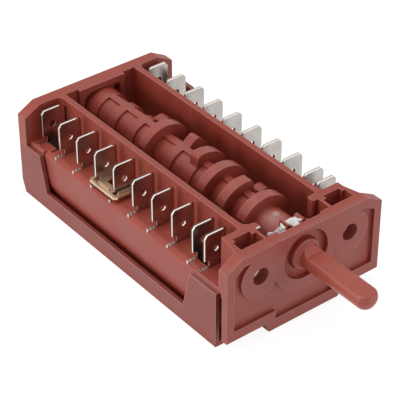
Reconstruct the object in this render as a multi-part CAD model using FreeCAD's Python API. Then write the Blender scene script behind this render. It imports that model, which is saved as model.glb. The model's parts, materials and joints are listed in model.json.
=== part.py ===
# Rotary cam selector switch for an oven, with ten blade terminals on each side.
# Origin on the spindle axis at the front mounting face, -Y out along the spindle, +Y to the rear,
# +X to the right seen from the front, +Z up. Millimetres.
import FreeCAD, Part
import math
import os

os.makedirs("parts", exist_ok=True)
V = FreeCAD.Vector

# Housing outline
body_width = 48.4
top_height = 7.65        # walls and plates above the spindle axis
plate_drop = 15.65       # lower edge of the front plate below the axis
corner_run = 4.8         # corner bevel along X
corner_drop = 2.6        # corner bevel along Z
plate_thick = 3.1
plate_foot_thick = 1.9   # the plate's lower part at the sides
plate_step_drop = 0.25   # where the plate gets thinner
backing_drop = 7.0       # the middle of the plate stays thick down to here
rear_wall = 3.3
tongue_half = 11.6       # middle tongue of the front plate
tongue_drop = 18.4
tongue_bevel = 0.6

# Front face relief
rim_width = 2.5
side_rim = 2.25
low_rim = 2.8
tongue_rim = 3.15
face_recess = 1.0
boss_radius = 5.9        # raised pad round each screw hole
hub_radius = 10.0        # raised pad round the spindle
pocket_radius = 6.9      # dished circle round the spindle
pocket_depth = 1.4
dimple_x = 9.5
dimple_drop = 3.35
dimple_radius = 0.22

# Screw mounting
hole_spacing = 28.0
screw_hole_d = 4.8
nut_flats = 7.0
nut_thick = 3.2
nut_bore_d = 3.3
nut_bore_flare = 0.45    # countersink at each end of the bore
nut_clear = 0.05         # round the nut's sides; it rests on the pocket floor and the plate
nut_pocket_length = 4.5  # along Y
nut_rib_width = 1.1
nut_outer_rib = 0.85
nut_wall = 0.65
block_back = 2.0         # block behind the pocket

# Ledges, inner walls and lower body
ledge_drop = 2.6         # ledge surface below the axis
ledge_thick = 1.8
shoulder_radius = 2.0    # soft outer edge of the ledge
side_wall = 1.5
waist_drop = 10.5        # below it the skirt draws inwards
waist_radius = 8.0
waist_turn = 30          # degrees
inner_wall = 1.6
ledge_margin = 3.6       # from the blades' outer edges to the side of the body
drum_room_share = 2 / 3  # of the free width inside, the rest lies between wall and blades
inner_wall_drop = 6.5    # how far the walls hang below the axis

# Drum
stages = 9
stage_pitch = 8.0
stage_front = 14.8       # front face of the first cam
cam_width = 3.0
core_radius = 4.85
low_radius = 5.5
lobe_radius = 8.2
lobe_ramp = 20.0         # degrees of each smooth flank
ramp_steps = 8
rear_stretch = 2.4       # plain drum behind the last cam
neck_radius = 5.2
index_teeth = 9
index_phase = 22.5       # first tooth, degrees from straight up towards +X
index_tip_radius = 7.4
index_root_radius = 5.6
index_tooth_deg = 25.0   # one tooth at its root
index_tip_deg = 2.0
index_front = 4.2
index_width = 3.0
journal_radius = 4.0
running_clear = 0.06
end_float = 0.25

# Spindle
spindle_d = 6.0
flat_height = 4.6        # across the flat
spindle_reach = 23.1
spindle_tip_round = 2.2
foot_radius = 3.7        # cone from here down to the shaft, ahead of the collar
foot_run = 1.1
flat_start = 2.6         # the flat begins this far ahead of the mounting face
flat_slope = 2.2         # and slopes up to the round over this length
collar_radius = 4.06     # its front is level with the mounting face
counterbore_radius = 4.4
counterbore_floor = 1.9  # behind the mounting face
spindle_grip = 11.0      # length held in the drum

# Terminals
tab_width = 6.3
tab_thick = 0.8
tab_rise = 7.05          # blade tips above the axis
tab_bevel_x = 0.75
tab_bevel_z = 0.95
tab_hole_d = 1.8
tab_hole_height = 2.4
extra_tab_gap = 4.65     # from the ninth blade to the front one
tab_shoulder = 2.1       # full width ends this far above the ledge
foot_inset = 1.25        # the outer edge steps in by this much there
foot_slant = 0.35
stem_width = 4.0
slot_clear = 0.05
lug_bumps = 3            # on the tongue that hooks up through the ledge
lug_bump = 0.5           # width of each bump
lug_space = 0.4          # between two bumps
lug_gap = 0.4            # between the tongue and the blade's foot
lug_rise = 0.2           # bumps above the ledge
lug_dip = 0.25           # below the ledge between them
hook_height = 0.8
foot_length = 3.4        # along Y
fixed_foot_drop = 12.8
moving_foot_drop = 8.8
contact_inset = 5.1      # contacts inward of the blades' inner edges
fixed_foot_reach = 6.7   # inward past the blade's inner edge
moving_foot_reach = 1.4
short_foot_drop = 7.0    # the front pair works no contact
spare_slot_gap = 5.05    # from the rear blade to an empty slot
spare_slot_reach = 1.9   # of that slot beyond the opening
spare_slot_width = 0.7

# Contact springs and rivets
leaf_thick = 0.3
leaf_width = 2.4
leaf_end = 1.4           # leaf beyond the moving contact
nose_half = 3.6
nose_crown = 0.6
nose_clear = 0.15
rivet_head_r = 1.2
rivet_head_h = 0.9
rivet_shank_r = 0.6
rivet_back_h = 0.35

# Detent spring
detent_thick = 0.4
detent_width = 2.9
detent_notch = 4.5       # teeth from the first one to the notch it rests in
detent_crown = 0.3
detent_nose = 1.6        # half width at the foot of the nose
detent_rise = 1.6        # first bend above the posts
detent_gap = 0.02
detent_drop = 11.0
post_inner = 3.0
post_width = 4.0
post_overlap = 1.5       # length of strip lying flat on each post

# Base cover
cover_wall = 1.15
cover_floor = 1.2
cover_clear = 0.2
skirt_gap = 0.45         # between the skirt and the cover's side wall
flange_gap = 0.1
flange_bevel = 0.5
cover_drop = 19.2
sill_drop = 14.2
front_tower_drop = 3.1
front_tower_length = 10.0
rear_tower_drop = 3.5
rear_tower_length = 9.2
tower_slope = 2.7
high_tower_rise = 1.0    # upright tongue on the right-hand rear tower
high_tower_front = 13.2  # ahead of the rear face
high_tower_length = 5.8
cover_front = 4.2
heel_run = 1.4
heel_rise = 3.6

# Jumper on the left row
jumper_rows = (3, 4)     # blades counted from the rear, first is 0
jumper_thick = 0.5
jumper_lift = 1.0        # underside above the ledge
jumper_front = 2.4       # plate ahead of the front blade
jumper_rear = 1.3
jumper_outer = 1.4       # plate beyond the blades' outer edges
jumper_corner = 0.9
jumper_fold = 0.6        # height of the folded strips
jumper_edge = 0.2        # raised outer edges
jumper_window = 3.1
jumper_window_inset = 1.8
jumper_rib_half = 2.3    # raised strip between the two blades
jumper_rib_out = 0.25    # beyond the blades' outer edges
jumper_notch = 0.35      # room round each blade's foot

# Small housing details
channel_depth = 0.5
channel_width = 2.1      # behind the middle of each blade
channel_top = 5.4
lip_bevel = 0.4
lip_half = 8.2           # opening between the chamber's rear lips
lip_front = 7.4
plate_notch_half = 6.75
plate_notch = 0.65
saddle_half = 7.2        # frame on the rear wall round the drum's end
saddle_thick = 1.1
saddle_gap = 0.4
saddle_leg = 1.2
saddle_round = 1.5
rear_corner_round = 1.8  # wall to rear wall, blade side
front_corner_round = 1.0
lip_corner_rounds = {-1: 2.2, 1: 0.8}  # left and right
window_x = 4.6           # blind pocket in the rear wall
window_width = 1.4
window_z = 2.6
window_height = 2.0
window_depth = 2.2

# Places that follow from the sizes above
half = body_width / 2
free_width = half - lobe_radius - inner_wall - tab_width - ledge_margin
inner_wall_half = lobe_radius + free_width * drum_room_share
wall_outer = inner_wall_half + inner_wall
tab_outer = half - ledge_margin
tab_inner = tab_outer - tab_width
contact_x = tab_inner - contact_inset
leaf_tip = contact_x + leaf_end
stage_ends = stage_front + (stages - 1) * stage_pitch + cam_width
rear_inner = stage_ends + rear_stretch
drum_end = rear_inner - end_float
body_length = rear_inner + rear_wall
ledge_z = -ledge_drop
ledge_under = ledge_z - ledge_thick
skirt_half = half - cover_wall - skirt_gap
flange_half = half - cover_wall - flange_gap
floor_top = -cover_drop + cover_floor
skirt_bottom = floor_top
hole_x = hole_spacing / 2
pocket_half = nut_flats / 2 + nut_clear
pocket_inner = hole_x - pocket_half
pocket_outer = hole_x + pocket_half
chamber_half = pocket_inner - nut_wall
pocket_rear = plate_thick + nut_pocket_length
block_rear = pocket_rear + block_back
block_outer = pocket_outer + nut_wall
nut_half_height = nut_flats / 2 / math.cos(math.radians(30))
full_turn = math.degrees(math.tau)
block_bottom = -nut_half_height - side_wall
shell_front = block_rear - side_wall
flare_outer = half - corner_run
front_tower_end = cover_front + front_tower_length
rear_tower_start = body_length - rear_tower_length
return_inner = chamber_half + side_wall + cover_wall
stage_tabs = [stage_ends - k * stage_pitch for k in range(stages)]
tab_rows = stage_tabs + [stage_tabs[-1] - extra_tab_gap]
blade_foot_outer = tab_outer - foot_inset
lug_inner = blade_foot_outer + lug_gap
lug_pitch = lug_bump + lug_space
lug_outer = lug_inner + lug_bumps * lug_pitch - lug_space
leaf_top = -moving_foot_drop + tab_thick + leaf_thick


def box(x0, x1, y0, y1, z0, z1):
    """Box between two values on each axis, in any order."""
    xs, ys, zs = sorted((x0, x1)), sorted((y0, y1)), sorted((z0, z1))
    return Part.makeBox(xs[1] - xs[0], ys[1] - ys[0], zs[1] - zs[0], V(xs[0], ys[0], zs[0]))


def rod(radius, y0, y1, x=0.0, z=0.0):
    """Cylinder along Y."""
    return Part.makeCylinder(radius, y1 - y0, V(x, y0, z), V(0, 1, 0))


def prism_xz(points, y0, y1):
    """Polygon in XZ pushed along Y."""
    wire = Part.makePolygon([V(x, y0, z) for x, z in points] + [V(points[0][0], y0, points[0][1])])
    return Part.Face(wire).extrude(V(0, y1 - y0, 0))


def prism_xy(points, z0, z1):
    """Polygon in XY pushed along Z."""
    wire = Part.makePolygon([V(x, y, z0) for x, y in points] + [V(points[0][0], points[0][1], z0)])
    return Part.Face(wire).extrude(V(0, 0, z1 - z0))


def corner_fill(x, y, side_x, side_y, radius, z0, z1):
    """Concave fillet in the upright corner at (x, y); the sides say which way it opens."""
    centre_x, centre_y = x + side_x * radius, y + side_y * radius
    square = box(x, centre_x, y, centre_y, z0, z1)
    return square.cut(Part.makeCylinder(radius, z1 - z0, V(centre_x, centre_y, z0), V(0, 0, 1)))


def prism_yz(points, x0, x1):
    """Polygon in YZ pushed along X."""
    wire = Part.makePolygon([V(x0, y, z) for y, z in points] + [V(x0, points[0][0], points[0][1])])
    return Part.Face(wire).extrude(V(x1 - x0, 0, 0))


def join(shapes):
    """One solid out of overlapping or touching ones."""
    result = shapes[0]
    if len(shapes) > 1:
        result = result.fuse(shapes[1:])
    return result.removeSplitter()


def both_sides(shape):
    """The shape and its mirror image across the middle plane."""
    return [shape, mirrored(shape)]


def mirrored(shape):
    return shape.mirror(V(0, 0, 0), V(1, 0, 0))


def save(name, shape):
    shape.exportStep("parts/" + name + ".step")


def round_point(radius, degrees):
    """Point at an angle from straight up, turning towards +X."""
    a = math.radians(degrees)
    return radius * math.sin(a), radius * math.cos(a)


def housing_outline(bottom):
    """Bevelled outline shared by the front plate and the rear wall."""
    return [(-half, bottom), (-half, top_height - corner_drop), (-half + corner_run, top_height),
            (half - corner_run, top_height), (half, top_height - corner_drop), (half, bottom)]


def front_plate():
    upper = prism_xz(housing_outline(-plate_step_drop), 0, plate_thick)
    backing = box(-chamber_half, chamber_half, plate_foot_thick, plate_thick, -backing_drop, 0)
    outline = housing_outline(-plate_drop) + [
        (tongue_half, -plate_drop), (tongue_half, -tongue_drop + tongue_bevel),
        (tongue_half - tongue_bevel, -tongue_drop), (-tongue_half + tongue_bevel, -tongue_drop),
        (-tongue_half, -tongue_drop + tongue_bevel), (-tongue_half, -plate_drop)]
    return join([upper, backing, prism_xz(outline, 0, plate_foot_thick)])


def face_relief():
    """What is sunk into the front face: the field inside the rim, less the raised pads."""
    side = half - side_rim
    top = top_height - rim_width
    low = -plate_drop + low_rim
    tongue_low = -tongue_drop + tongue_rim
    bevel_length = math.hypot(corner_run, corner_drop)
    bevel_x = half - corner_run - rim_width * (bevel_length - corner_run) / corner_drop
    bevel_z = top - (side - bevel_x) * corner_drop / corner_run
    step = tongue_half - rim_width
    right = [(bevel_x, top), (side, bevel_z), (side, low), (step, low), (step, tongue_low)]
    field = prism_xz(right + [(-x, z) for x, z in reversed(right)], 0, face_recess)
    pads = [rod(boss_radius, 0, face_recess, x) for x in (-hole_x, hole_x)]
    pads.append(rod(hub_radius, 0, face_recess))
    pads.append(box(-hole_x, hole_x, 0, face_recess, 0, top_height))
    return field.cut(join(pads))


def nut_block():
    """Right-hand block behind the plate that holds a nut, before its pocket is cut."""
    block = box(chamber_half, block_outer, plate_foot_thick, block_rear, block_bottom, top_height)
    flare = prism_xy([(chamber_half, plate_foot_thick), (flare_outer, plate_foot_thick),
                      (flare_outer, plate_thick), (block_outer, pocket_rear),
                      (chamber_half, pocket_rear)], block_bottom, top_height)
    return join([block, flare])


def nut_pocket():
    pocket = box(pocket_inner, pocket_outer, plate_thick, pocket_rear, -nut_half_height, top_height)
    rib_front = plate_thick + nut_thick + nut_clear
    ribs = [box(x0, x1, rib_front, pocket_rear, -nut_half_height, top_height)
            for x0, x1 in ((pocket_inner, pocket_inner + nut_rib_width),
                           (pocket_outer - nut_outer_rib, pocket_outer))]
    return pocket.cut(ribs)


def skirt_line():
    """Outer face of the right-hand skirt from its soft shoulder down; it draws inwards below the waist."""
    r = shoulder_radius
    line = [(skirt_half - r + dx, ledge_z - r + dz)
            for dx, dz in (round_point(r, a) for a in range(0, 91, 15))]
    bend = [round_point(waist_radius, a) for a in range(90, 91 + waist_turn, 10)]
    line += [(skirt_half - waist_radius + dx, -waist_drop + dz) for dx, dz in bend]
    return line + [(line[-1][0], skirt_bottom)]


def side_shell():
    """Right-hand ledge and the skirt below it, with flat flanges where the cover's towers stand."""
    outer = skirt_line()
    inner = [(x - side_wall, z) for x, z in reversed(outer) if z < ledge_under]
    outline = [(inner_wall_half, ledge_z)] + outer + inner
    outline += [(inner[-1][0], ledge_under), (inner_wall_half, ledge_under)]
    shell = prism_xz(outline, shell_front, rear_inner)
    flange = [(tab_outer, ledge_under), (flange_half, ledge_under), (flange_half, ledge_z - flange_bevel),
              (flange_half - flange_bevel, ledge_z), (tab_outer, ledge_z)]
    front = box(chamber_half, tab_outer, plate_foot_thick, front_tower_end, ledge_under, ledge_z)
    return join([shell, front, prism_xz(flange, plate_foot_thick, front_tower_end),
                 prism_xz(flange, rear_tower_start, rear_inner)])


def inner_wall_solid():
    return box(inner_wall_half, wall_outer, block_rear - nut_wall, rear_inner, -inner_wall_drop, top_height)


def ledge_cuts():
    """Slots for the right-hand terminals, the open stretches and the moulded channels."""
    cuts = []
    for y in tab_rows:
        near, far = y - tab_thick / 2 - slot_clear, y + tab_thick / 2 + slot_clear
        cuts.append(box(tab_inner - slot_clear, blade_foot_outer + slot_clear, near, far,
                        ledge_under, ledge_z))
        cuts.append(box(lug_inner - slot_clear, lug_outer + slot_clear, near, far,
                        ledge_under - hook_height - slot_clear, ledge_z))
        cuts.append(box(wall_outer - channel_depth, wall_outer, y, y + channel_width, ledge_z, channel_top))
    rear, last, extra = tab_rows[0], tab_rows[-2], tab_rows[-1]
    spare = rear - spare_slot_gap
    slot_y0, slot_y1 = spare - spare_slot_width / 2, spare + spare_slot_width / 2
    cuts.append(box(tab_inner, blade_foot_outer, slot_y0, rear, ledge_under, ledge_z))
    cuts.append(box(tab_inner, blade_foot_outer + spare_slot_reach, slot_y0, slot_y1,
                    ledge_under, ledge_z))
    cuts.append(box(tab_inner, blade_foot_outer, extra, last, ledge_under, ledge_z))
    return cuts


def chamber():
    """Index chamber between the nut blocks: side walls, rear lips and a closed lower end."""
    side = box(chamber_half, chamber_half + side_wall, plate_foot_thick, block_rear, skirt_bottom, ledge_z)
    lip = prism_xy([(lip_half, lip_front + lip_bevel), (lip_half + lip_bevel, lip_front),
                    (chamber_half + side_wall, lip_front), (chamber_half + side_wall, block_rear),
                    (lip_half + lip_bevel, block_rear), (lip_half, block_rear - lip_bevel)],
                   -inner_wall_drop, top_height)
    back = box(-chamber_half, chamber_half, lip_front, block_rear, skirt_bottom,
               -low_radius - detent_thick - side_wall)
    return join(both_sides(side) + both_sides(lip) + [back])


def front_bulkhead():
    """Wall across the lower body behind the cover's front corners."""
    outline = [(chamber_half, ledge_z)] + skirt_line() + [(chamber_half, skirt_bottom)]
    return prism_xz(outline, shell_front, shell_front + side_wall)


def rear_end():
    upper = prism_xz(housing_outline(-rear_tower_drop), rear_inner, body_length)
    lower = box(-skirt_half, skirt_half, rear_inner, body_length - cover_wall - cover_clear,
                skirt_bottom, -rear_tower_drop)
    frame = box(-saddle_half, saddle_half, rear_inner - saddle_thick, rear_inner,
                -inner_wall_drop, top_height)
    return join([upper, lower, frame.cut(saddle_recess())])


def saddle_recess():
    """Round-cornered room for the drum's end inside the frame on the rear wall."""
    side, top, r = saddle_half - saddle_leg, low_radius + saddle_gap, saddle_round
    corner = [round_point(r, a) for a in range(0, 91, 15)]
    outline = [(side - r + dx, top - r + dz) for dx, dz in corner] + [(side, -inner_wall_drop)]
    outline += [(-x, z) for x, z in reversed(outline)]
    return prism_xz(outline, rear_inner - saddle_thick, rear_inner)


def corner_fills():
    """Rounded inner corners where the long walls meet the rear wall and the nut blocks."""
    fills = both_sides(corner_fill(wall_outer, rear_inner, 1, -1, rear_corner_round, ledge_z, top_height))
    fills += both_sides(corner_fill(wall_outer, block_rear, 1, 1, front_corner_round, ledge_z, top_height))
    for side, radius in lip_corner_rounds.items():
        fills.append(corner_fill(side * inner_wall_half, block_rear, -side, 1, radius,
                                 -inner_wall_drop, top_height))
    return fills


def housing():
    body = [front_plate(), rear_end(), chamber()] + corner_fills()
    for piece in (side_shell(), inner_wall_solid(), nut_block(), front_bulkhead()):
        body += both_sides(piece)
    shape = join(body)
    cuts = [face_relief()]
    for x in (-hole_x, hole_x):
        cuts.append(rod(screw_hole_d / 2, 0, plate_thick, x))
    cuts += both_sides(nut_pocket())
    for cut in ledge_cuts():
        cuts += both_sides(cut)
    cuts += [rod(pocket_radius, 0, pocket_depth), rod(counterbore_radius, 0, counterbore_floor),
             rod(dimple_radius, 0, dimple_radius, dimple_x, -dimple_drop),
             rod(collar_radius + running_clear, 0, plate_thick),
             rod(journal_radius + running_clear, rear_inner, body_length)]
    cuts.append(box(-plate_notch_half, plate_notch_half, plate_thick - plate_notch, plate_thick,
                    -index_tip_radius, top_height))
    cuts.append(box(window_x, window_x + window_width, rear_inner, rear_inner + window_depth,
                    window_z, window_z + window_height))
    return shape.cut(cuts).removeSplitter()


def cover_tower(corner_y, free_y, top):
    """Side wall of one corner tower on the right; its free edge leans away from the corner."""
    foot_y = free_y + (tower_slope if free_y > corner_y else -tower_slope)
    return prism_yz([(corner_y, floor_top), (foot_y, floor_top), (foot_y, -sill_drop), (free_y, top),
                     (corner_y, top)], half - cover_wall, half)


def base_cover():
    rear = body_length
    floor = box(-half, half, cover_front, rear, -cover_drop, floor_top)
    wall = box(half - cover_wall, half, cover_front, rear, -cover_drop, -sill_drop)
    back = box(-half, half, rear - cover_wall, rear, -cover_drop, -sill_drop)
    front = cover_tower(cover_front, front_tower_end, -front_tower_drop)
    front_end = box(return_inner, block_outer, cover_front, cover_front + cover_wall, floor_top,
                    block_bottom - cover_clear)
    low_rear = cover_tower(rear, rear_tower_start, -rear_tower_drop)
    rear_end_wall = box(return_inner, half, rear - cover_wall, rear, floor_top, -rear_tower_drop)
    parts = [floor, back]
    for piece in (wall, front, front_end, low_rear, rear_end_wall):
        parts += both_sides(piece)
    tongue_y = rear - high_tower_front
    parts.append(box(half - cover_wall, half, tongue_y, tongue_y + high_tower_length, -sill_drop,
                     high_tower_rise))
    parts += both_sides(cover_pad())
    shape = join(parts)
    heel = prism_yz([(rear, -cover_drop), (rear - heel_run, -cover_drop), (rear, -cover_drop + heel_rise)],
                    -half, half)
    return shape.cut(heel).removeSplitter()


def cover_pad():
    """Post on the floor that carries one end of the detent spring."""
    return box(post_inner, post_inner + post_width, lip_front - end_float - detent_width,
               lip_front - end_float, floor_top, -detent_drop - detent_thick)


def cam_profile(low, high, lobes, ramp, y0, y1):
    """Cam slice: arcs of two radii joined by smooth flanks; each lobe is (start, end) at half height."""
    def arc(radius, a0, a1):
        ends = [round_point(radius, a) for a in (a0, (a0 + a1) / 2, a1)]
        return Part.Arc(*[V(x, y0, z) for x, z in ends]).toShape()

    def flank(r0, a0, r1, a1):
        points = []
        for i in range(ramp_steps + 1):
            share = i / ramp_steps
            rise = (1 - math.cos(math.pi * share)) / 2
            points.append(round_point(r0 + (r1 - r0) * rise, a0 + (a1 - a0) * share))
        curve = Part.BSplineCurve()
        curve.interpolate([V(x, y0, z) for x, z in points])
        return curve.toShape()

    if not lobes:
        return rod(low, y0, y1)
    edges = []
    for i, (a0, a1) in enumerate(lobes):
        next_start = lobes[(i + 1) % len(lobes)][0] + (full_turn if i == len(lobes) - 1 else 0)
        edges += [flank(low, a0 - ramp / 2, high, a0 + ramp / 2), arc(high, a0 + ramp / 2, a1 - ramp / 2),
                  flank(high, a1 - ramp / 2, low, a1 + ramp / 2),
                  arc(low, a1 + ramp / 2, next_start - ramp / 2)]
    face = Part.Face(Part.Wire(Part.__sortEdges__(edges)))
    return face.extrude(V(0, y1 - y0, 0))


# Raised sectors of each cam from the front one back, in degrees from straight up towards +X.
# The underside, where the contact springs sit, is low on every cam in the rest position.
cam_lobes = [
    [(-70, 64), (225, 258)],
    [(-70, 22), (58, 92)],
    [(-70, 80)],
    [(-20, 63), (218, 252)],
    [(22, 74), (108, 138)],
    [(-70, 61)],
    [(56, 92), (228, 258)],
    [(104, 140)],
    [(106, 140), (222, 256)],
]
key_span = (-9, 14)      # raised strip along the top and the underside of the core


def index_wheel():
    half_root, half_tip = index_tooth_deg / 2, index_tip_deg / 2
    step = full_turn / index_teeth
    points = []
    for k in range(index_teeth):
        centre = index_phase + k * step
        points += [round_point(index_root_radius, centre - half_root),
                   round_point(index_tip_radius, centre - half_tip),
                   round_point(index_tip_radius, centre + half_tip),
                   round_point(index_root_radius, centre + half_root),
                   round_point(index_root_radius, centre + step / 2)]
    return prism_xz(points, index_front, index_front + index_width)


def cam_drum():
    pieces = [index_wheel(), rod(neck_radius, index_front, stage_front),
              rod(core_radius, stage_front, drum_end), rod(low_radius, stage_ends, drum_end),
              rod(journal_radius, drum_end, body_length - end_float)]
    for k, lobes in enumerate(cam_lobes[:stages]):
        y0 = stage_front + k * stage_pitch
        pieces.append(cam_profile(low_radius, lobe_radius, lobes, lobe_ramp, y0, y0 + cam_width))
    for turn in (0, 180):
        pieces.append(sector(low_radius, key_span[0] + turn, key_span[1] + turn, stage_front, drum_end))
    shape = join(pieces)
    return shape.cut(d_section(spindle_d + 2 * slot_clear, flat_height + slot_clear, index_front - end_float,
                               index_front + spindle_grip + end_float))


def sector(radius, a0, a1, y0, y1):
    """Slice of a disc between two angles."""
    points = [round_point(radius, a) for a in (a0, (a0 + a1) / 2, a1)]
    arc = Part.Arc(*[V(x, y0, z) for x, z in points]).toShape()
    centre = V(0, y0, 0)
    sides = [Part.LineSegment(centre, V(points[0][0], y0, points[0][1])).toShape(),
             Part.LineSegment(V(points[2][0], y0, points[2][1]), centre).toShape()]
    return Part.Face(Part.Wire(Part.__sortEdges__([sides[0], arc, sides[1]]))).extrude(V(0, y1 - y0, 0))


def d_section(diameter, across_flat, y0, y1):
    """Round shaft along Y with a flat on top."""
    r = diameter / 2
    flat = across_flat - r
    return rod(r, y0, y1).cut(box(-r, r, y0, y1, flat, r))


def spindle():
    shaft = rod(spindle_d / 2, -spindle_reach, index_front + spindle_grip)
    tip = [e for e in shaft.Edges if e.BoundBox.YMax < -spindle_reach + slot_clear]
    shaft = shaft.makeFillet(spindle_tip_round, tip)
    foot = Part.makeCone(spindle_d / 2, foot_radius, foot_run, V(0, -foot_run, 0), V(0, 1, 0))
    flat = flat_height - spindle_d / 2
    tip_y, slope_end = -spindle_reach - slot_clear, -flat_start + flat_slope
    above_flat = prism_yz([(tip_y, flat), (-flat_start, flat), (slope_end, foot_radius),
                           (slope_end, spindle_d), (tip_y, spindle_d)], -spindle_d, spindle_d)
    shaft = join([shaft, foot]).cut(above_flat)
    shaft = shaft.cut(box(-spindle_d, spindle_d, index_front - slot_clear, index_front + spindle_grip,
                          flat, spindle_d))
    collar = rod(collar_radius, 0, index_front - slot_clear)
    return join([shaft, collar])


def terminal(y, foot_drop, foot_reach):
    """Right-hand blade terminal in the XZ plane, its foot folded forward under the drum."""
    x0, x1 = tab_inner, tab_outer
    shoulder = ledge_z + tab_shoulder
    hook_low = ledge_under - hook_height
    stem_outer = x0 + stem_width
    foot_z = -foot_drop
    top, dip = ledge_z + lug_rise, ledge_z - lug_dip
    tongue = []
    for bump in range(lug_bumps):
        start = lug_inner + bump * lug_pitch
        tongue += [(start, dip), (start, top), (start + lug_bump, top), (start + lug_bump, dip)]
    tongue[0], tongue[-1] = (lug_inner, ledge_under), (lug_outer, hook_low)
    outline = [(x0, foot_z), (x0, tab_rise - tab_bevel_z), (x0 + tab_bevel_x, tab_rise),
               (x1 - tab_bevel_x, tab_rise), (x1, tab_rise - tab_bevel_z), (x1, shoulder),
               (blade_foot_outer + foot_slant, shoulder), (blade_foot_outer, shoulder - foot_slant),
               (blade_foot_outer, ledge_under)] + tongue + [(stem_outer, hook_low), (stem_outer, foot_z)]
    blade = prism_xz(outline, y - tab_thick / 2, y + tab_thick / 2)
    foot = box(x0 - foot_reach, stem_outer, y + tab_thick / 2 - foot_length, y + tab_thick / 2,
               foot_z, foot_z + tab_thick)
    hole = rod(tab_hole_d / 2, y - tab_thick, y + tab_thick, (x0 + x1) / 2, tab_hole_height)
    return join([blade, foot]).cut(hole)


def leaf_y(y):
    """Middle of the contact spring that belongs to the blade at y, just ahead of its stem."""
    return y - tab_thick / 2 - slot_clear - leaf_width / 2


def contact_spring(y):
    """Leaf on the right-hand foot with a nose up to the drum, free at its left end."""
    top, t = leaf_top, leaf_thick
    peak = -low_radius - nose_clear
    root = tab_inner + stem_width
    upper = [(root, top), (nose_half, top), (nose_crown, peak), (-nose_crown, peak), (-nose_half, top),
             (-leaf_tip, top)]
    lower = [(x, z - t) for x, z in reversed(upper)]
    y0, y1 = leaf_y(y) - leaf_width / 2, leaf_y(y) + leaf_width / 2
    return prism_xz(upper + lower, y0, y1).cut(
        Part.makeCylinder(rivet_shank_r, 4 * t, V(-contact_x, leaf_y(y), top - 2 * t), V(0, 0, 1)))


def moving_rivet(y):
    """Contact rivet through the spring, its head below."""
    x, yc = -contact_x, leaf_y(y)
    under = leaf_top - leaf_thick
    head = Part.makeCylinder(rivet_head_r, rivet_head_h, V(x, yc, under - rivet_head_h), V(0, 0, 1))
    shank = Part.makeCylinder(rivet_shank_r, leaf_thick, V(x, yc, under), V(0, 0, 1))
    back = Part.makeCylinder(rivet_shank_r * 1.5, rivet_back_h, V(x, yc, leaf_top), V(0, 0, 1))
    return join([head, shank, back])


def fixed_rivet(y):
    """Contact head on the left-hand foot."""
    return Part.makeCylinder(rivet_head_r, rivet_head_h,
                             V(-contact_x, leaf_y(y), -fixed_foot_drop + tab_thick), V(0, 0, 1))


def nut(x):
    """Hexagon nut standing in its pocket, two flats upright."""
    points = [(x + dx, dz) for dx, dz in (round_point(nut_half_height, a) for a in range(0, 360, 60))]
    y0, y1 = plate_thick, plate_thick + nut_thick
    r, wide = nut_bore_d / 2, nut_bore_d / 2 + nut_bore_flare
    flares = [Part.makeCone(wide, r, nut_bore_flare, V(x, y0, 0), V(0, 1, 0)),
              Part.makeCone(wide, r, nut_bore_flare, V(x, y1, 0), V(0, -1, 0))]
    return prism_xz(points, y0, y1).cut([rod(r, y0, y1, x)] + flares)


def detent_spring():
    """Bent strip: it stands on the cover's posts and its nose rests in a low notch of the index wheel."""
    z_low = -detent_drop
    z_bend = z_low + detent_rise
    touch = index_root_radius + detent_gap
    nose_x = round_point(touch, index_phase + detent_notch * full_turn / index_teeth)[0]
    nose_top = -math.sqrt(touch ** 2 - (abs(nose_x) - detent_crown) ** 2)
    reach = post_inner + post_width
    upper = [(-reach, z_low), (-reach + post_overlap, z_low), (nose_x - detent_nose, z_bend),
             (nose_x - detent_crown, nose_top), (nose_x + detent_crown, nose_top),
             (nose_x + detent_nose, z_bend), (reach - post_overlap, z_low), (reach, z_low)]
    lower = [(x, z - detent_thick) for x, z in reversed(upper)]
    y1 = lip_front - end_float
    return prism_xz(upper + lower, y1 - detent_width, y1)


def jumper():
    """Brass plate pushed down over two blades, with folded strips along its outer and front edges."""
    y_rear, y_front = (tab_rows[k] for k in jumper_rows)
    low = ledge_z + jumper_lift
    top = low + jumper_thick
    x0, x1 = wall_outer + slot_clear, tab_outer + jumper_outer
    y0, y1 = y_front - jumper_front, y_rear + jumper_rear
    c = jumper_corner
    wire = Part.makePolygon([V(x, y, low) for x, y in (
        (x0, y0), (x1 - c, y0), (x1, y0 + c), (x1, y1 - c), (x1 - c, y1), (x0, y1), (x0, y0))])
    plate = Part.Face(wire).extrude(V(0, 0, jumper_thick))
    middle = (y_rear + y_front) / 2
    outer_rib = box(tab_outer + jumper_rib_out - jumper_thick, tab_outer + jumper_rib_out,
                    middle - jumper_rib_half, middle + jumper_rib_half, low, top + jumper_fold)
    front_rib = box(tab_inner, tab_outer - jumper_thick, y0 + 2 * jumper_thick, y0 + 3 * jumper_thick,
                    low, top + jumper_fold)
    edge = box(x1 - jumper_thick, x1, y0 + c, y1 - c, top, top + jumper_edge)
    front_edge = box(x0, x1 - c, y0, y0 + jumper_thick, top, top + jumper_edge)
    shape = join([plate, outer_rib, front_rib, edge, front_edge])
    cuts = []
    for y in (y_rear, y_front):
        near, far = y - tab_thick / 2 - slot_clear, y + tab_thick / 2 + slot_clear
        cuts.append(box(tab_inner, tab_outer + slot_clear, near, far, low, top))
        cuts.append(box(blade_foot_outer, tab_outer + jumper_notch, near - jumper_notch, far, low, top))
    cuts.append(box(tab_inner + jumper_window_inset, tab_outer - jumper_window_inset,
                    middle - jumper_window / 2, middle + jumper_window / 2, low, top))
    return mirrored(shape.cut(cuts))


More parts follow.
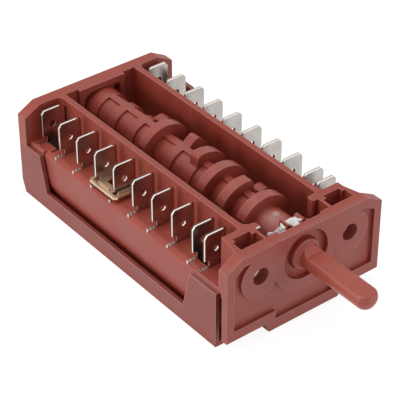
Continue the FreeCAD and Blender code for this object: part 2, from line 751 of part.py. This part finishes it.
save("housing", housing())
save("base_cover", base_cover())
save("cam_drum", cam_drum())
save("spindle", spindle())
save("jumper", jumper())
save("detent_spring", detent_spring())
save("nuts", Part.makeCompound([nut(-hole_x), nut(hole_x)]))
for number, row in enumerate(tab_rows, 1):
    works = row in stage_tabs
    right = terminal(row, moving_foot_drop if works else short_foot_drop, moving_foot_reach if works else 0)
    left = terminal(row, fixed_foot_drop if works else short_foot_drop, fixed_foot_reach if works else 0)
    save("right_terminal_%d" % number, right)
    save("left_terminal_%d" % number, mirrored(left))
for number, row in enumerate(stage_tabs, 1):
    save("contact_spring_%d" % number, contact_spring(row))
save("moving_contacts", Part.makeCompound([moving_rivet(row) for row in stage_tabs]))
save("fixed_contacts", Part.makeCompound([fixed_rivet(row) for row in stage_tabs]))
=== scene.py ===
import json
import math

import bmesh
import bpy
from mathutils import Matrix, Vector


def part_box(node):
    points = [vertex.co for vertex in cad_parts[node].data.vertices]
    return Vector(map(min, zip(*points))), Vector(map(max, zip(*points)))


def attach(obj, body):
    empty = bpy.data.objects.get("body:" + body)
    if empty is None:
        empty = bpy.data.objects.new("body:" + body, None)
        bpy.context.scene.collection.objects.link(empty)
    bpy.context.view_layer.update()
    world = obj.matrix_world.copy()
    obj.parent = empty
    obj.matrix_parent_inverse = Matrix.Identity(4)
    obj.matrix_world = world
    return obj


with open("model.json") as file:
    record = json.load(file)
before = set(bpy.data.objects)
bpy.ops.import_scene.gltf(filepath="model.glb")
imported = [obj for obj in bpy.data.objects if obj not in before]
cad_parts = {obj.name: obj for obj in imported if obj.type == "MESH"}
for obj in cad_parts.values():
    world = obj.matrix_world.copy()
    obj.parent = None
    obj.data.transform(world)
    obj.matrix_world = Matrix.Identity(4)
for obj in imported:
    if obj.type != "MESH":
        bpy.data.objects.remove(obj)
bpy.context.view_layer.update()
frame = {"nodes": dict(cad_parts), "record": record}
nodes = frame["nodes"]
scene = bpy.context.scene


# Shader helpers

def new_material(name):
    material = bpy.data.materials.new(name)
    material.use_nodes = True
    tree = material.node_tree
    shader = next(n for n in tree.nodes if n.type == "BSDF_PRINCIPLED")
    return material, tree, shader


def add(tree, kind, **values):
    """New node with its sockets or settings filled in."""
    node = tree.nodes.new(kind)
    for key, value in values.items():
        if key in node.inputs:
            node.inputs[key].default_value = value
        else:
            setattr(node, key, value)
    return node


def set_input(shader, name, value):
    if name in shader.inputs:
        shader.inputs[name].default_value = value


def map_range(tree, value, low, high, to_low, to_high):
    node = add(tree, "ShaderNodeMapRange")
    for key, number in (("From Min", low), ("From Max", high), ("To Min", to_low), ("To Max", to_high)):
        node.inputs[key].default_value = number
    tree.links.new(value, node.inputs["Value"])
    return node.outputs["Result"]


def math_node(tree, operation, *values):
    node = add(tree, "ShaderNodeMath", operation=operation)
    for socket, value in zip(node.inputs, values):
        tree.links.new(value, socket)
    return node.outputs["Value"]


def noise(tree, place, scale, **values):
    node = add(tree, "ShaderNodeTexNoise", Scale=scale, **values)
    tree.links.new(place, node.inputs["Vector"])
    return node.outputs["Fac"]


def split_xyz(tree, vector):
    node = add(tree, "ShaderNodeSeparateXYZ")
    tree.links.new(vector, node.inputs["Vector"])
    return node.outputs


def stretched(tree, place, scale):
    node = add(tree, "ShaderNodeMapping")
    node.inputs["Scale"].default_value = scale
    tree.links.new(place, node.inputs["Vector"])
    return node.outputs["Vector"]


def colour(rgb):
    """Linear colour from 0-255 screen values."""
    out = []
    for c in rgb:
        c = c / 255
        out.append(c / 12.92 if c <= 0.04045 else ((c + 0.055) / 1.055) ** 2.4)
    return (*out, 1.0)


def tone(rgb, factor):
    return [min(c * factor, 255) for c in rgb]


def ramp_colours(tree, value, low, high, low_rgb, high_rgb):
    node = add(tree, "ShaderNodeValToRGB")
    stops = node.color_ramp.elements
    stops[0].position = low
    stops[0].color = colour(low_rgb)
    stops[1].position = high
    stops[1].color = colour(high_rgb)
    tree.links.new(value, node.inputs["Fac"])
    return node.outputs["Color"]


def mix_colours(tree, share, first, second):
    """From the first colour at 0 to the second at 1. Each is a socket or an 0-255 colour."""
    node = add(tree, "ShaderNodeMix", data_type="RGBA")
    tree.links.new(share, node.inputs["Factor"])
    for number, value in ((6, first), (7, second)):
        if isinstance(value, tuple):
            node.inputs[number].default_value = colour(value)
        else:
            tree.links.new(value, node.inputs[number])
    return node.outputs[2]


def bevel_normal(tree, radius):
    node = add(tree, "ShaderNodeBevel", samples=8)
    node.inputs["Radius"].default_value = radius
    return node.outputs["Normal"]


def bump(tree, height, strength, distance, under=None):
    node = add(tree, "ShaderNodeBump", Strength=strength, Distance=distance)
    tree.links.new(height, node.inputs["Height"])
    if under:
        tree.links.new(under, node.inputs["Normal"])
    return node.outputs["Normal"]


def near_point(tree, place, centre, reach):
    """1 at a point, falling to 0 at the given distance from it."""
    gap = add(tree, "ShaderNodeVectorMath", operation="DISTANCE")
    tree.links.new(place, gap.inputs[0])
    gap.inputs[1].default_value = centre
    return map_range(tree, gap.outputs["Value"], 0.0, reach, 1.0, 0.0)


# Plastic

side_face_x = (0.0221, 0.0226)    # the painted grey sheen, partly real bloom, of the outer faces begins between these
front_face_y = (0.0016, 0.0011)
# Reach of the painted shade in recesses
painted_shade_reach = 0.004
# Pale edge colour: a painted highlight, partly rubbed wear
edge_highlight_rgb = (214, 162, 150)


def outer_sheen_and_bloom_share(tree, place, haze, strength):
    """Painted grey sheen, partly real bloom, on the outer sides and the front plate, uneven with the haze."""
    axes = split_xyz(tree, place)
    side = map_range(tree, math_node(tree, "ABSOLUTE", axes["X"]), *side_face_x, 0.0, strength)
    front = map_range(tree, axes["Y"], *front_face_y, 0.0, strength)
    outer = math_node(tree, "MAXIMUM", side, front)
    return math_node(tree, "MULTIPLY", outer, map_range(tree, haze, 0.3, 0.65, 0.6, 1.0))


def edge_highlight_share(tree, soft_normal, strength):
    """Share of painted edge highlight, partly rubbed wear, found where the softened normal turns away from
    the face's own.
    """
    turn = add(tree, "ShaderNodeVectorMath", operation="DOT_PRODUCT")
    geometry = add(tree, "ShaderNodeNewGeometry")
    tree.links.new(soft_normal, turn.inputs[0])
    tree.links.new(geometry.outputs["Normal"], turn.inputs[1])
    return map_range(tree, turn.outputs["Value"], 0.99, 0.92, 0.0, strength)


def plastic(name, rgb, sheen_and_bloom_rgb, edge, edge_highlight, bloom, roughness=0.5, outer_sheen_and_bloom=0.0, residue_and_sheen=(), turned=False):
    """Moulded thermoset: soft flow mottle, grey bloom with painted sheen on open faces and painted shade in
    recesses, painted edge highlights partly standing for rubbed wear, spots of residue with painted sheen,
    and fine grain.
    """
    material, tree, shader = new_material(name)
    link = tree.links.new
    place = add(tree, "ShaderNodeTexCoord").outputs["Object"]
    mottle = noise(tree, place, 170.0, Detail=5.0, Roughness=0.6, Distortion=0.4)
    speckle = noise(tree, place, 1500.0, Detail=2.0)
    flow = map_range(tree, math_node(tree, "ADD", mottle, speckle), 0.7, 1.3, 0.0, 1.0)
    body_colour = ramp_colours(tree, flow, 0.0, 1.0, tone(rgb, 0.95), tone(rgb, 1.05))

    haze = noise(tree, place, 60.0, Detail=4.0, Roughness=0.55)
    sheen_and_bloom_share = map_range(tree, haze, 0.35, 0.7, 0.0, bloom)
    if outer_sheen_and_bloom:
        sheen_and_bloom_share = math_node(tree, "ADD", sheen_and_bloom_share, outer_sheen_and_bloom_share(tree, place, haze, outer_sheen_and_bloom))
    # Painted shade: bloom, painted sheen and edge highlight are taken out where nearby surfaces close in, so
    # recesses turn darker and redder
    occlusion = add(tree, "ShaderNodeAmbientOcclusion", samples=8)
    occlusion.inputs["Distance"].default_value = painted_shade_reach
    unshaded_share = map_range(tree, occlusion.outputs["AO"], 0.45, 0.9, 0.0, 1.0)
    sheen_and_bloom_share = math_node(tree, "MULTIPLY", sheen_and_bloom_share, unshaded_share)
    # Spots of whitish residue with painted sheen and a painted highlight
    for centre, reach, strength in residue_and_sheen:
        streaky = map_range(tree, mottle, 0.35, 0.62, 0.3 * strength, strength)
        residue_and_sheen_patch = math_node(tree, "MULTIPLY", near_point(tree, place, centre, reach), streaky)
        sheen_and_bloom_share = math_node(tree, "ADD", sheen_and_bloom_share, residue_and_sheen_patch)

    soft_normal = bevel_normal(tree, edge)
    # Painted edge highlight, left out in recesses
    painted_edge_highlight = math_node(tree, "MULTIPLY", edge_highlight_share(tree, soft_normal, edge_highlight), unshaded_share)
    with_sheen_and_bloom = mix_colours(tree, sheen_and_bloom_share, body_colour, sheen_and_bloom_rgb)
    link(mix_colours(tree, painted_edge_highlight, with_sheen_and_bloom, edge_highlight_rgb), shader.inputs["Base Color"])
    link(map_range(tree, mottle, 0.3, 0.7, roughness - 0.05, roughness + 0.08), shader.inputs["Roughness"])

    grain = noise(tree, place, 2200.0, Detail=3.0)
    normal = bump(tree, grain, 0.25, 0.00003, soft_normal)
    if turned:
        rings = noise(tree, stretched(tree, place, (0.02, 1.0, 0.02)), 2600.0, Detail=2.0)
        normal = bump(tree, rings, 0.5, 0.00004, normal)
    link(normal, shader.inputs["Normal"])
    return material


# Metal

blade_pitch, blade_thick = 0.008, 0.0008
pitches_spanned = 12
lug_top_z = (-0.0023, -0.0021)    # the lugs on the ledge end between these
left_to_right_x = (-0.001, 0.001)


def painted_edge_light(tree, face_colour, bright, rear_shade, lug_highlight):
    """Painted light on the sheared edges of the blades: a painted highlight on the front half and painted
    shade on the rear half, weaker on the right, and a painted highlight on the lugs. Faces keep their colour.
    """
    coord = add(tree, "ShaderNodeTexCoord")
    normal = split_xyz(tree, coord.outputs["Normal"])
    place = split_xyz(tree, coord.outputs["Object"])
    is_edge = map_range(tree, math_node(tree, "ABSOLUTE", normal["Y"]), 0.3, 0.6, 1.0, 0.0)

    first_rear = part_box("left_terminal_1")[1][1]
    last_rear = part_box("left_terminal_10")[1][1]
    count = map_range(tree, place["Y"], first_rear, first_rear - pitches_spanned * blade_pitch,
                      0.0, float(pitches_spanned))
    in_pitch = math_node(tree, "FRACT", count)
    extra_rear = (first_rear - last_rear) / blade_pitch % 1.0
    share = blade_thick / blade_pitch
    halves = []
    for start in (0.0, extra_rear):
        into = map_range(tree, in_pitch, start - 0.002, start + 0.002, 0.0, 1.0)
        past = map_range(tree, in_pitch, start + share * 0.4, start + share * 0.6, 1.0, 0.0)
        halves.append(math_node(tree, "MULTIPLY", into, past))
    shaded_rear_half = math_node(tree, "MAXIMUM", *halves)

    on_blade = map_range(tree, place["Z"], *lug_top_z, 0.0, 1.0)
    by_side = map_range(tree, place["X"], *left_to_right_x, 1.0, 0.5)
    shaded_rear_half = math_node(tree, "MULTIPLY", math_node(tree, "MULTIPLY", shaded_rear_half, on_blade), by_side)
    lit_front_half = mix_colours(tree, on_blade, lug_highlight, bright)
    return mix_colours(tree, is_edge, face_colour, mix_colours(tree, shaded_rear_half, lit_front_half, rear_shade))


def metal(name, rgb, roughness, bump_strength=0.04, stretch=(1.0, 1.0, 1.0), edge=0.0003, edge_light=None):
    """Plated or plain sheet metal with softened edges and faint rolling marks along one direction, with
    painted light on the blade edges when given.
    """
    material, tree, shader = new_material(name)
    link = tree.links.new
    place = add(tree, "ShaderNodeTexCoord").outputs["Object"]
    marks = noise(tree, stretched(tree, place, stretch), 450.0, Detail=2.0)
    link(map_range(tree, marks, 0.3, 0.7, roughness, roughness + 0.08), shader.inputs["Roughness"])
    patches = noise(tree, place, 250.0, Detail=2.0)
    tint = ramp_colours(tree, patches, 0.3, 0.7, tone(rgb, 0.94), tone(rgb, 1.04))
    if edge_light:
        tint = painted_edge_light(tree, tint, *edge_light)
    link(tint, shader.inputs["Base Color"])
    link(bump(tree, marks, bump_strength, 0.00002, bevel_normal(tree, edge)), shader.inputs["Normal"])
    set_input(shader, "Metallic", 1.0)
    return material


def grease_look():
    """White switch grease: glossy and slightly uneven, with blue-grey thin spots."""
    material, tree, shader = new_material("switch_grease")
    place = add(tree, "ShaderNodeTexCoord").outputs["Object"]
    patches = noise(tree, place, 900.0, Detail=3.0)
    tint = ramp_colours(tree, patches, 0.3, 0.45, (214, 218, 226), (247, 246, 248))
    tree.links.new(tint, shader.inputs["Base Color"])
    tree.links.new(bump(tree, patches, 0.25, 0.00008), shader.inputs["Normal"])
    set_input(shader, "Roughness", 0.36)
    set_input(shader, "Subsurface Weight", 0.15)
    set_input(shader, "Subsurface Scale", 0.0004)
    return material


# Looks of the CAD nodes, by material slot

# Greys mixed in for real bloom and for painted sheen
sheen_and_bloom_grey = (158, 118, 114)
cover_sheen_and_bloom_grey = (144, 109, 105)
drum_sheen_and_bloom_grey = (196, 158, 146)
# Painted highlight and painted shade for the blade edges, and a painted highlight for the lugs
blade_edge_highlight_rgb, blade_edge_shade_rgb, lug_highlight_rgb = (240, 230, 222), (96, 72, 64), (214, 196, 186)
# Spots on the drum's neck: whitish residue with a painted sheen and a painted highlight
neck_residue_and_sheen = [((-0.0015, 0.0112, 0.0049), 0.0042, 0.38), ((0.0002, 0.0116, 0.0052), 0.0013, 1.7)]
looks = {
    "housing_plastic": plastic("housing_plastic", (159, 64, 48), sheen_and_bloom_grey, edge=0.0002, edge_highlight=0.8,
                               bloom=0.08, outer_sheen_and_bloom=0.22),
    "cover_plastic": plastic("cover_plastic", (141, 55, 43), cover_sheen_and_bloom_grey, edge=0.0003, edge_highlight=0.9,
                             bloom=0.08, outer_sheen_and_bloom=0.22),
    "drum_plastic": plastic("drum_plastic", (160, 69, 55), drum_sheen_and_bloom_grey, edge=0.0002, edge_highlight=0.2,
                            bloom=0.06, roughness=0.36, residue_and_sheen=neck_residue_and_sheen, turned=True),
    "spindle_plastic": plastic("spindle_plastic", (172, 76, 60), sheen_and_bloom_grey, edge=0.0007, edge_highlight=0.12,
                               bloom=0.08, roughness=0.38),
    "brass_plate": metal("brass_plate", (214, 188, 160), roughness=0.3, edge=0.00012),
    "spring_steel": metal("spring_steel", (170, 170, 172), roughness=0.3),
    "nut_steel": metal("nut_steel", (242, 241, 238), roughness=0.55, bump_strength=0.3),
    "contact_metal": metal("contact_metal", (215, 210, 200), roughness=0.25),
    "terminal_metal": metal("terminal_metal", (186, 181, 176), roughness=0.2, stretch=(1.0, 1.0, 0.08),
                            edge=0.00012, edge_light=(blade_edge_highlight_rgb, blade_edge_shade_rgb, lug_highlight_rgb)),
    "spring_bronze": metal("spring_bronze", (190, 150, 110), roughness=0.3),
}
slot_of = {s["node"]: s["material_slot"] for s in frame["record"]["subparts"]}
for name, obj in nodes.items():
    obj.data.materials.clear()
    obj.data.materials.append(looks[slot_of[name]])


# Grease on the index wheel, its neck and one lip

drop_flatness = 0.6
skin_voxel = 0.00009
skin_rounds = 9


def blob(name, drops, body):
    """Smear made of overlapping soft drops, merged into one skin. Each is place, size and direction."""
    mesh = bpy.data.meshes.new(name)
    shape = bmesh.new()
    for place, size, normal in drops:
        turn = Vector(normal).to_track_quat("Z", "Y").to_matrix().to_4x4()
        flat = Matrix.Diagonal((size, size, size * drop_flatness, 1))
        where = Matrix.Translation(Vector(place)) @ turn @ flat
        bmesh.ops.create_icosphere(shape, subdivisions=3, radius=1.0, matrix=where)
    shape.to_mesh(mesh)
    shape.free()
    obj = bpy.data.objects.new(name, mesh)
    scene.collection.objects.link(obj)
    skin = obj.modifiers.new("skin", "REMESH")
    skin.mode = "VOXEL"
    skin.voxel_size = skin_voxel
    skin.use_smooth_shade = True
    soft = obj.modifiers.new("soft", "SMOOTH")
    soft.iterations = skin_rounds
    obj.data.materials.append(grease)
    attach(obj, body)


def drum_drops(rows):
    """Drops on the drum from rows of angle from straight up, radius, y and size, in degrees and mm."""
    drops = []
    for degrees, radius, y, size in rows:
        a = math.radians(degrees)
        out = (math.sin(a), 0.0, math.cos(a))
        place = (radius * out[0] / 1000, y / 1000, radius * out[2] / 1000)
        drops.append((place, size / 1000, out))
    return drops


grease = grease_look()
blob("grease_between_teeth", drum_drops([
    (-3, 5.6, 6.9, 0.6), (2, 5.6, 6.6, 0.75), (7, 5.65, 6.9, 0.7), (12, 5.9, 6.8, 0.6), (1, 5.6, 5.7, 0.85),
    (7, 5.6, 5.5, 0.85), (12, 5.8, 5.9, 0.75), (17, 6.3, 6.3, 0.6), (17, 6.4, 5.3, 0.6), (11, 5.75, 4.7, 0.7),
    (4, 5.55, 4.75, 0.65), (19, 6.7, 4.8, 0.45), (-4, 5.6, 5.9, 0.5)]), "drum")
blob("grease_left_flank", drum_drops([
    (-21, 6.7, 6.5, 0.38), (-23, 6.5, 6.1, 0.6), (-24, 6.4, 5.4, 0.7), (-28, 6.0, 5.8, 0.8),
    (-33, 5.65, 5.2, 0.7), (-36, 5.6, 5.9, 0.65), (-28, 5.9, 4.9, 0.6), (-30, 5.7, 6.6, 0.6),
    (-36, 5.55, 6.8, 0.5), (-41, 5.5, 7.0, 0.45), (-46, 5.45, 7.3, 0.42), (-51, 5.4, 7.6, 0.48),
    (-55, 5.35, 8.0, 0.66), (-58, 5.4, 8.3, 0.72), (-61, 5.3, 8.6, 0.5)]), "drum")
off_the_lip = (0, -1, 0.6)
blob("grease_on_lip", [
    ((-0.0094, 0.0074, 0.0075), 0.00026, off_the_lip), ((-0.009, 0.00735, 0.0076), 0.00033, off_the_lip),
    ((-0.0086, 0.0074, 0.0076), 0.00034, off_the_lip), ((-0.0084, 0.0076, 0.0075), 0.00026, off_the_lip)],
    "switch")


# Stage and lamps

floor_half, floor_z = 3.0, -0.0193
world_light, world_seen = 0.3, 1.0


def seen_or_mirrored(tree):
    """1 for rays from the camera and for mirrored or refracted ones, 0 for light that falls on things."""
    path = add(tree, "ShaderNodeLightPath")
    seen = math_node(tree, "MAXIMUM", path.outputs["Is Camera Ray"], path.outputs["Is Glossy Ray"])
    return math_node(tree, "MAXIMUM", seen, path.outputs["Is Transmission Ray"])


def floor_material():
    """Pale floor that shows white with the object's shadow, and lights the object as plain white card."""
    material, tree, shader = new_material("floor_white")
    tree.nodes.remove(shader)
    card = add(tree, "ShaderNodeBsdfDiffuse", Color=(0.9, 0.9, 0.9, 1))
    shown = add(tree, "ShaderNodeBsdfDiffuse", Color=(0.25, 0.25, 0.25, 1))
    white = add(tree, "ShaderNodeEmission", Color=(1, 1, 1, 1), Strength=0.9)
    both = add(tree, "ShaderNodeAddShader")
    mix = add(tree, "ShaderNodeMixShader")
    out = next(n for n in tree.nodes if n.type == "OUTPUT_MATERIAL")
    tree.links.new(shown.outputs["BSDF"], both.inputs[0])
    tree.links.new(white.outputs["Emission"], both.inputs[1])
    tree.links.new(seen_or_mirrored(tree), mix.inputs["Fac"])
    tree.links.new(card.outputs["BSDF"], mix.inputs[1])
    tree.links.new(both.outputs["Shader"], mix.inputs[2])
    tree.links.new(mix.outputs["Shader"], out.inputs["Surface"])
    return material


corners = [(x * floor_half, y * floor_half, floor_z) for x, y in ((-1, -1), (1, -1), (1, 1), (-1, 1))]
floor_mesh = bpy.data.meshes.new("floor")
floor_mesh.from_pydata(corners, [], [(0, 1, 2, 3)])
floor = bpy.data.objects.new("floor", floor_mesh)
scene.collection.objects.link(floor)
floor.data.materials.append(floor_material())

world = bpy.data.worlds.new("surround")
scene.world = world
world.use_nodes = True
tree = world.node_tree
background = next(n for n in tree.nodes if n.type == "BACKGROUND")
background.inputs["Color"].default_value = (1, 1, 1, 1)
world_strength = map_range(tree, seen_or_mirrored(tree), 0.0, 1.0, world_light, world_seen)
tree.links.new(world_strength, background.inputs["Strength"])


def lamp(name, place, target, size, power):
    data = bpy.data.lights.new(name, "AREA")
    data.shape = "SQUARE"
    data.size = size
    data.energy = power
    obj = bpy.data.objects.new(name, data)
    obj.location = place
    obj.rotation_euler = (Vector(target) - Vector(place)).to_track_quat("-Z", "Y").to_euler()
    scene.collection.objects.link(obj)


middle = (0, 0.04, -0.005)
lamp("top", (-0.05, 0.15, 0.6), middle, 0.4, 1.6)
lamp("left", (-0.6, 0.2, 0.12), middle, 0.35, 1.7)
lamp("front_right", (0.3, -0.6, 0.1), middle, 0.4, 1.4)


# Camera, placed from the solved view of the photograph

focal_px, picture_px = 1678.975, 400
azimuth, elevation, roll = -0.664794, 0.623463, -0.001765
shift_x, shift_y, distance = 0.000568, 0.005511, 0.425026
sensor_mm = 36.0
aim = Vector((0, 0.04, 0))
back = Vector((math.sin(azimuth) * math.cos(elevation), -math.cos(azimuth) * math.cos(elevation),
               math.sin(elevation)))
right = Vector((0, 0, 1)).cross(back).normalized()
up = back.cross(right)
c, s = math.cos(roll), math.sin(roll)
right, up = right * c + up * s, up * c - right * s
camera_data = bpy.data.cameras.new("camera")
camera_data.sensor_width = sensor_mm
camera_data.lens = focal_px * sensor_mm / picture_px
camera_data.clip_start = 0.01
camera = bpy.data.objects.new("camera", camera_data)
place = aim + back * distance - right * shift_x - up * shift_y
camera.matrix_world = Matrix(((right.x, up.x, back.x, place.x), (right.y, up.y, back.y, place.y),
                              (right.z, up.z, back.z, place.z), (0, 0, 0, 1)))
scene.collection.objects.link(camera)
scene.camera = camera

scene.view_settings.view_transform = "Standard"
